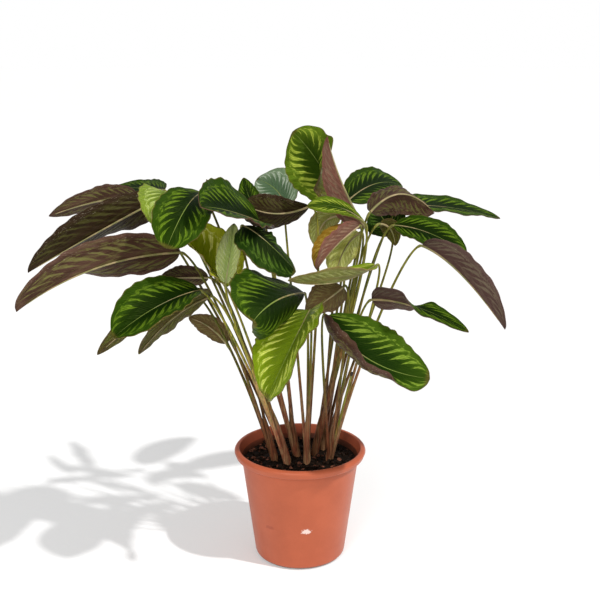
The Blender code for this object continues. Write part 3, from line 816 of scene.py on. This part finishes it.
def pot_profile():
    """The profile from the middle of the base, up the outside, over the lip and down inside."""
    under_lip = POT_HEIGHT - LIP_HEIGHT
    lip_middle = RIM_RADIUS - LIP_ROUND
    inner_foot = wall_radius(FLOOR) - WALL
    profile = [(0.0, 0.0), (DRAIN_RING, 0.0)]
    profile += arc(WALL_FOOT_RADIUS - FOOT_ROUND, FOOT_ROUND, FOOT_ROUND, -90, -8, 10)
    profile += [(wall_radius(under_lip), under_lip)]
    profile += arc(lip_middle, under_lip + LIP_EDGE, LIP_EDGE, -90, 0, 6)
    profile += arc(lip_middle, POT_HEIGHT - LIP_ROUND, LIP_ROUND, 0, 115, 12)
    profile += [(wall_radius(under_lip) - WALL, under_lip - LIP_EDGE)]
    profile += [(inner_foot - FLOOR, 2 * FLOOR), (inner_foot - 2 * FLOOR, FLOOR)]
    profile += [(0.0, FLOOR)]
    return profile


def drain_cutter():
    """Plugs for the drain holes, longer than the base is thick."""
    bm = bmesh.new()
    for hole in range(DRAIN_HOLES):
        angle = math.tau * (hole + 0.5) / DRAIN_HOLES
        place = Vector((DRAIN_RING * math.cos(angle), DRAIN_RING * math.sin(angle), 0.0))
        bmesh.ops.create_cone(
            bm,
            cap_ends=True,
            segments=DRAIN_SIDES,
            radius1=DRAIN_RADIUS,
            radius2=DRAIN_RADIUS,
            depth=4 * FLOOR,
            matrix=Matrix.Translation(place),
        )
    return add_object("drain_cutter", bm, [])


def make_pot():
    """The thin-walled pot with its drain holes."""
    pot = add_object("nursery_pot", turn(pot_profile(), POT_SIDES), [pot_finish()])
    cutter = drain_cutter()
    tool = pot.modifiers.new("cut", "BOOLEAN")
    tool.operation = "DIFFERENCE"
    tool.object = cutter
    tool.solver = "EXACT"
    apply_modifiers(pot)
    bpy.data.objects.remove(cutter)
    shade_round(pot, 40)
    place_piece(pot, ["pot"])


def soil_height(x, y):
    """Height of the lumpy soil at a place on it, level where it meets the wall."""
    place = Vector((x, y, SOIL_TOP))
    edge = wall_radius(SOIL_TOP) - WALL
    inside = min(1.0, max(0.0, (edge - place.xy.length) / (SOIL_EDGE * edge)))
    lump = SOIL_LUMP * noise.noise(place / SOIL_LUMP_SIZE)
    grain = SOIL_GRAIN * noise.noise(place / SOIL_GRAIN_SIZE)
    return SOIL_TOP + (lump + grain) * inside


def make_soil():
    """The bed that fills the pot, level below and lumpy on top."""
    top = wall_radius(SOIL_TOP) - WALL - SOIL_GAP
    foot = wall_radius(FLOOR) - WALL - SOIL_GAP
    profile = [(0.0, FLOOR + SOIL_GAP)]
    profile += [(foot - 2 * FLOOR, FLOOR + SOIL_GAP), (foot - FLOOR, 2 * FLOOR + SOIL_GAP)]
    profile += [(top * ring / SOIL_RINGS, SOIL_TOP) for ring in range(SOIL_RINGS, -1, -1)]
    bm = turn(profile, SOIL_SIDES)
    for vert in bm.verts:
        if vert.co.z > SOIL_TOP - SOIL_GAP:
            vert.co.z = soil_height(vert.co.x, vert.co.y)
    soil = add_object("soil_bed", bm, [soil_finish("soil_peat", PEAT_LIGHT)])
    shade_round(soil, 60)
    place_piece(soil, ["soil"])


def rough_lump(bm, chance, x, y, size, flatness):
    """One rough lump on the soil, turned at random and pressed flat."""
    place = Vector((x, y, soil_height(x, y) + LUMP_SEAT * size))
    flat = chance.uniform(*flatness)
    turned = Matrix.Rotation(chance.uniform(0, math.tau), 4, "Z")
    turned = turned @ Matrix.Rotation(chance.uniform(-LUMP_TILT, LUMP_TILT), 4, "X")
    shape = Matrix.Diagonal((1.0, chance.uniform(*LUMP_WIDTHS), flat, 1.0))
    made = bmesh.ops.create_icosphere(
        bm,
        subdivisions=1,
        radius=size,
        matrix=Matrix.Translation(place) @ turned @ shape,
    )
    for vert in made["verts"]:
        push = noise.noise_vector(vert.co / size * LUMP_GRAIN + place * LUMP_APART)
        vert.co += push * size * LUMP_ROUGHNESS


def strewn(chance, reach):
    """A random place on the soil within this reach of its middle."""
    angle, out = chance.uniform(0, math.tau), reach * math.sqrt(chance.random())
    return out * math.cos(angle), out * math.sin(angle)


def place_lumps(name, bm, look):
    lumps = add_object(name, bm, [look])
    shade_round(lumps, 30)
    place_piece(lumps, [])


def make_crumbs():
    """Loose crumbs of soil on the bed, and flat reddish bark chips, most of them at the left."""
    chance = random.Random(CRUMB_SEED)
    noise.seed_set(CRUMB_SEED)
    reach = wall_radius(SOIL_TOP) - WALL - CRUMB_MARGIN
    bm = bmesh.new()
    for _ in range(CRUMBS):
        x, y = strewn(chance, reach)
        size = CRUMB_LEAST + CRUMB_GROWTH * chance.random() ** 2
        rough_lump(bm, chance, x, y, size, CRUMB_FLATNESS)
    place_lumps("soil_crumbs", bm, soil_finish("soil_crumb", CRUMB_BROWN))

    bm = bmesh.new()
    for _ in range(CHIPS):
        x, y = strewn(chance, reach)
        x -= chance.uniform(0, CHIP_DRIFT) * reach
        x = max(x, -math.sqrt(max(reach**2 - y**2, 0.0)))
        rough_lump(bm, chance, x, y, chance.uniform(*CHIP_SIZES), CHIP_FLATNESS)
    place_lumps("bark_chips", bm, soil_finish("soil_bark", BARK_BROWN))


# Stems


def shoot_foot(shoot):
    """Where a shoot comes out of the soil."""
    across, deep, _ = SHOOTS[shoot]
    return Vector((across * MM, deep * MM, SOIL_TOP))


def bezier(points, t):
    """A point and its direction on the Bezier curve of three or four points."""
    layer = list(points)
    while len(layer) > 2:
        layer = [a.lerp(b, t) for a, b in zip(layer, layer[1:])]
    return layer[0].lerp(layer[1], t), (layer[1] - layer[0]).normalized()


def midrib_curve(leaf):
    """The three control points of a midrib that passes through its middle point."""
    neck, mid, tip = (Vector(place) * MM for place in (leaf.neck, leaf.mid, leaf.tip))
    return neck, 2 * mid - (neck + tip) / 2, tip


def stalk_curve(leaf):
    """The four control points of a leaf's stalk, which runs on into its midrib."""
    neck, bend, _ = midrib_curve(leaf)
    foot = shoot_foot(leaf.shoot)
    outward = Vector((neck.x - foot.x, neck.y - foot.y, 0.0)).normalized()
    foot = foot + outward * STALK_SPREAD
    knee = neck - (bend - neck).normalized() * NECK_REACH
    rise = (knee - foot) * STALK_RISE
    rise.x *= STALK_LEAN
    rise.y *= STALK_LEAN
    return foot, foot + rise, knee, neck


def tube(bm, stations, sides, look=0):
    """Adds a closed round tube through stations of place, direction, radius and way."""
    way_layer = bm.verts.layers.float.get("way") or bm.verts.layers.float.new("way")
    place, ahead, radius, way = stations[0]
    turned = ahead.to_track_quat("Z", "Y")
    start = bmesh.ops.create_circle(
        bm,
        cap_ends=True,
        segments=sides,
        radius=radius,
        matrix=Matrix.Translation(place) @ turned.to_matrix().to_4x4(),
    )
    ring = start["verts"]
    skin = set(ring[0].link_faces)
    every = list(ring)
    edges = [edge for edge in bm.edges if edge.verts[0] in ring]
    for vert in ring:
        vert[way_layer] = way
    for index in range(1, len(stations)):
        before, last_place, last_radius = ahead, place, radius
        place, ahead, radius, way = stations[index]
        swing = before.rotation_difference(ahead)
        grown = bmesh.ops.extrude_edge_only(bm, edges=edges)["geom"]
        ring = [part for part in grown if isinstance(part, bmesh.types.BMVert)]
        edges = [part for part in grown if isinstance(part, bmesh.types.BMEdge)]
        skin.update(part for part in grown if isinstance(part, bmesh.types.BMFace))
        for vert in ring:
            spoke = (vert.co - last_place) * (radius / last_radius)
            vert.co = place + swing @ spoke
            vert[way_layer] = way
        every += ring
    skin.update(bmesh.ops.edgeloop_fill(bm, edges=edges)["faces"])
    bmesh.ops.recalc_face_normals(bm, faces=list(skin))
    for face in skin:
        face.material_index = look
    return every


def stalk_stations(curve, swell):
    """A stalk's stations, thinner upwards, with a swelling just below its blade."""
    stations = []
    for step in range(STALK_STEPS + 1):
        t = math.sin(step / STALK_STEPS * math.pi / 2)
        place, ahead = bezier(curve, t)
        radius = STALK_FOOT_RADIUS + (STALK_NECK_RADIUS - STALK_FOOT_RADIUS) * t**STALK_TAPER
        joint = math.exp(-(((t - NECK_SWELL_PLACE) / NECK_SWELL_LENGTH) ** 2))
        stations.append((place, ahead, radius * (1 + swell * joint), t))
    return stations


def sheath_stations(foot, lean):
    """The wrapped leaf bases at the foot of a shoot, which bend into its lean and fade out."""
    up = Vector((0, 0, 1))
    start = foot + up * SHEATH_COLLAR
    stations = [(foot - up * ROOT_DEPTH, up, SHEATH_RADIUS, 0.0)]
    for step in range(SHEATH_STEPS + 1):
        t = step / SHEATH_STEPS
        ahead = up.lerp(lean, min(1.0, SHEATH_BEND * t)).normalized()
        radius = SHEATH_RADIUS + (SHEATH_TOP_RADIUS - SHEATH_RADIUS) * t**SHEATH_TAPER
        fade = max(0.0, (t - SHEATH_FADE_FROM) / (1 - SHEATH_FADE_FROM)) ** SHEATH_FADE_POWER
        radius *= 1 - SHEATH_FADE * fade
        stations.append((start + lean * SHEATH_HEIGHT * t, ahead, radius, SHEATH_WAY * t))
    return stations


def stub_curve(foot):
    """The four control points of the stalk that was cut off."""
    end = Vector(STUB_END) * MM
    return (foot, *(foot.lerp(end, bend) for bend in STUB_BENDS), end)


def cap_stations(curve):
    """The dried end of the cut stalk."""
    top, ahead = bezier(curve, 1.0)
    return [(top + ahead * past * MM, ahead, radius * MM, 1.0) for past, radius in STUB_CAP]


def make_shoot(shoot, number, looks):
    """A sheath with its stalks, some paler than others."""
    leaves = [leaf for leaf in LEAVES.values() if leaf.shoot == shoot]
    curves = [stalk_curve(leaf) for leaf in leaves]
    foot = shoot_foot(shoot)
    chance = random.Random(number)
    bm = bmesh.new()
    pale_layer = bm.verts.layers.float.new("pale")
    stubs = [stub_curve(foot)] if shoot == STUB_SHOOT else []
    starts = [(curve[1] - foot).normalized() for curve in curves + stubs]
    lean = sum(starts, Vector()).normalized()
    skins = [tube(bm, sheath_stations(foot, lean), SHEATH_SIDES)]
    skins += [tube(bm, stalk_stations(curve, NECK_SWELL), STALK_SIDES) for curve in curves]
    for curve in stubs:
        skins.append(tube(bm, stalk_stations(curve, 0.0), STALK_SIDES))
        skins.append(tube(bm, cap_stations(curve), STALK_SIDES, 1))
    pale = SHOOTS[shoot][-1]
    for skin in skins:
        share = min(1.0, max(0.0, pale + chance.uniform(-PALE_SPREAD, PALE_SPREAD)))
        for vert in skin:
            vert[pale_layer] = share
    stems = add_object("stems_" + shoot, bm, looks)
    shade_round(stems, 60)
    place_piece(stems, ["shoot_" + shoot])


# Blades


def outline(leaf, t):
    """Half width of a blade at t along its midrib, as a share of the widest."""
    shift = math.log(0.5) / math.log(leaf.widest)
    rounding = BASE_ROUNDING + (leaf.point - BASE_ROUNDING) * t
    return math.sin(math.pi * t**shift) ** rounding


def midrib_frame(leaf, t):
    """The midrib's place at t, its direction, and the blade's sideways and upward directions."""
    neck, bend, tip = midrib_curve(leaf)
    centre, ahead = bezier((neck, bend, tip), t)
    level = (tip - neck).cross(Vector((0, 0, 1)))
    side = (level - ahead * level.dot(ahead)).normalized()
    turned = Matrix.Rotation(-math.radians(along(leaf.roll, t)), 3, ahead)
    return centre, ahead, turned @ side, turned @ side.cross(ahead)


def blade_point(leaf, t, across, midrib, seed):
    """The place on a blade from -1 to 1 across it, from left to right, with its waves and veins."""
    centre, _, side, up = midrib
    hand = -1.0 if across < 0 else 1.0
    folds, curls = (leaf.left, leaf.left_curl) if across < 0 else (leaf.right, leaf.right_curl)
    fold = math.radians(along(folds, t))
    curl = math.radians(along(curls, t) + LEAST_CURL)
    least = BLADE_END_WIDTH + (BLADE_TIP_WIDTH - BLADE_END_WIDTH) * t
    half = max(leaf.width * MM / 2 * outline(leaf, t), least)
    reach = abs(across)
    notch = math.sin(math.tau * (NOTCH_COUNT * t + seed + NOTCH_SHIFT * hand))
    notch *= NOTCH_DEPTH * reach**4
    lean = fold + curl * reach
    out = (math.sin(lean) - math.sin(fold)) / curl + notch
    lift = (math.cos(fold) - math.cos(lean)) / curl
    wave = math.sin(math.tau * (WAVE_COUNT * t + WAVE_SHIFT * hand)) * reach**2 * WAVE_HEIGHT
    ripple = math.sin(math.tau * (RIPPLE_COUNT * t + seed + RIPPLE_SHIFT * hand))
    wave += ripple * reach**3 * RIPPLE_HEIGHT
    veins = math.sin(math.tau * VEIN_COUNT * (t - VEIN_SLANT * reach))
    veins *= VEIN_RELIEF * math.sin(math.pi * min(reach, 1.0)) * math.sin(math.pi * t)
    over = side * (-hand * math.sin(lean)) + up * math.cos(lean)
    return centre + (side * (hand * out) + up * lift) * half + over * (wave * half + veins)


def rib_stations(leaf):
    """The raised midrib under a blade, from its neck almost to its tip."""
    stations = []
    for step in range(RIB_STEPS + 1):
        t = RIB_END * step / RIB_STEPS
        centre, ahead, _, up = midrib_frame(leaf, t)
        radius = RIB_RADIUS * (1 - t) ** RIB_TAPER + RIB_LEAST
        stations.append((centre - up * RIB_SINK, ahead, radius, 1.0))
    return stations


def make_leaf(name, leaf, seed, looks):
    """A thin waved blade with an upper and a lower finish and a raised midrib."""
    bm = bmesh.new()
    uv = bm.loops.layers.uv.new("blade")
    steps_along, steps_across = BLADE_STEPS
    bmesh.ops.create_grid(bm, x_segments=steps_along, y_segments=steps_across, size=0.5)
    for face in bm.faces:
        for loop in face.loops:
            loop[uv].uv = (eased(loop.vert.co.x + 0.5), loop.vert.co.y + 0.5)
    midribs = {}
    for vert in bm.verts:
        t = eased(vert.co.x + 0.5)
        key = round(t, 6)
        if key not in midribs:
            midribs[key] = midrib_frame(leaf, t)
        vert.co = blade_point(leaf, t, vert.co.y * 2, midribs[key], seed)
    bmesh.ops.reverse_faces(bm, faces=bm.faces[:])
    blade = add_object("leaf_" + name, bm, looks)
    wall = blade.modifiers.new("thickness", "SOLIDIFY")
    wall.thickness = BLADE_THICKNESS
    wall.offset = 0.0
    wall.material_offset = 1
    wall.material_offset_rim = 1
    apply_modifiers(blade)
    bm = bmesh.new()
    bm.from_mesh(blade.data)
    tube(bm, rib_stations(leaf), RIB_SIDES, 2)
    seed_layer = bm.verts.layers.float.new("seed")
    for vert in bm.verts:
        vert[seed_layer] = seed
    bm.to_mesh(blade.data)
    bm.free()
    shade_round(blade, 60)
    place_piece(blade, ["blade_" + name])


def eased(share):
    """Spreads the blade's steps so that they are closer at both ends."""
    return 0.5 * share + 0.25 * (1 - math.cos(math.pi * share))


def make_leaves():
    """All blades, each with its own seed for ripples and pattern."""
    uppers = {name: upper_finish(name, colours) for name, colours in UPPERS.items()}
    lowers = {name: lower_finish(name, colours) for name, colours in LOWERS.items()}
    rib = rib_finish()
    for number, (name, leaf) in enumerate(LEAVES.items()):
        upper, lower = OWN_LOOKS.get(name, LOOKS[leaf.tone])
        seed = (number * SEED_STEP) % 1.0
        make_leaf(name, leaf, seed, [uppers[upper], lowers[lower], rib])


# Floor, light and camera


def make_floor():
    bm = bmesh.new()
    bmesh.ops.create_circle(bm, cap_ends=True, segments=FLOOR_SIDES, radius=FLOOR_RADIUS)
    floor = add_object("floor", bm, [floor_finish()])


def aim(thing, place, target):
    """Adds a light to the scene at a place, turned to its target."""
    thing.location = place
    thing.rotation_euler = (Vector(target) - Vector(place)).to_track_quat("-Z", "Y").to_euler()
    bpy.context.scene.collection.objects.link(thing)


def make_lights():
    """A soft key from the right for the shadow on the floor, and a large soft box in front."""
    key = bpy.data.lights.new("key", "SUN")
    key.energy = KEY_LIGHT
    key.angle = math.radians(KEY_SPREAD)
    key.color = KEY_COLOUR
    aim(bpy.data.objects.new("key", key), KEY_FROM, (0.0, 0.0, 0.0))
    box = bpy.data.lights.new("soft_box", "AREA")
    box.shape = "DISK"
    box.size = BOX_SIZE
    box.energy = BOX_LIGHT
    aim(bpy.data.objects.new("soft_box", box), BOX_PLACE, BOX_TARGET)


def make_world():
    """A white backdrop to the camera that lights the plant with a dimmer dome."""
    world = bpy.data.worlds.new("studio")
    bpy.context.scene.world = world
    world.use_nodes = True
    tree = world.node_tree
    sky = tree.nodes["Background"]
    sky.inputs["Color"].default_value = (1.0, 1.0, 1.0, 1.0)
    seen = tree.nodes.new("ShaderNodeLightPath").outputs["Is Camera Ray"]
    power = tree.nodes.new("ShaderNodeMapRange")
    power.inputs["To Min"].default_value = DOME_LIGHT
    power.inputs["To Max"].default_value = 1.0
    tree.links.new(seen, power.inputs["Value"])
    tree.links.new(power.outputs["Result"], sky.inputs["Strength"])


def make_stage():
    make_floor()
    make_world()
    make_lights()
    camera = bpy.data.objects.new("camera", bpy.data.cameras.new("camera"))
    camera.location = CAMERA_PLACE
    camera.rotation_euler = (math.radians(90 - CAMERA_PITCH), 0.0, 0.0)
    camera.data.lens = CAMERA_LENS
    camera.data.sensor_width = CAMERA_SENSOR
    bpy.context.scene.collection.objects.link(camera)
    bpy.context.scene.camera = camera
    bpy.context.scene.view_settings.view_transform = "Standard"


make_pot()
make_soil()
make_crumbs()
stem_looks = [stalk_finish(), stub_finish()]
for place_number, shoot_name in enumerate(SHOOTS):
    make_shoot(shoot_name, place_number, stem_looks)
make_leaves()
make_stage()
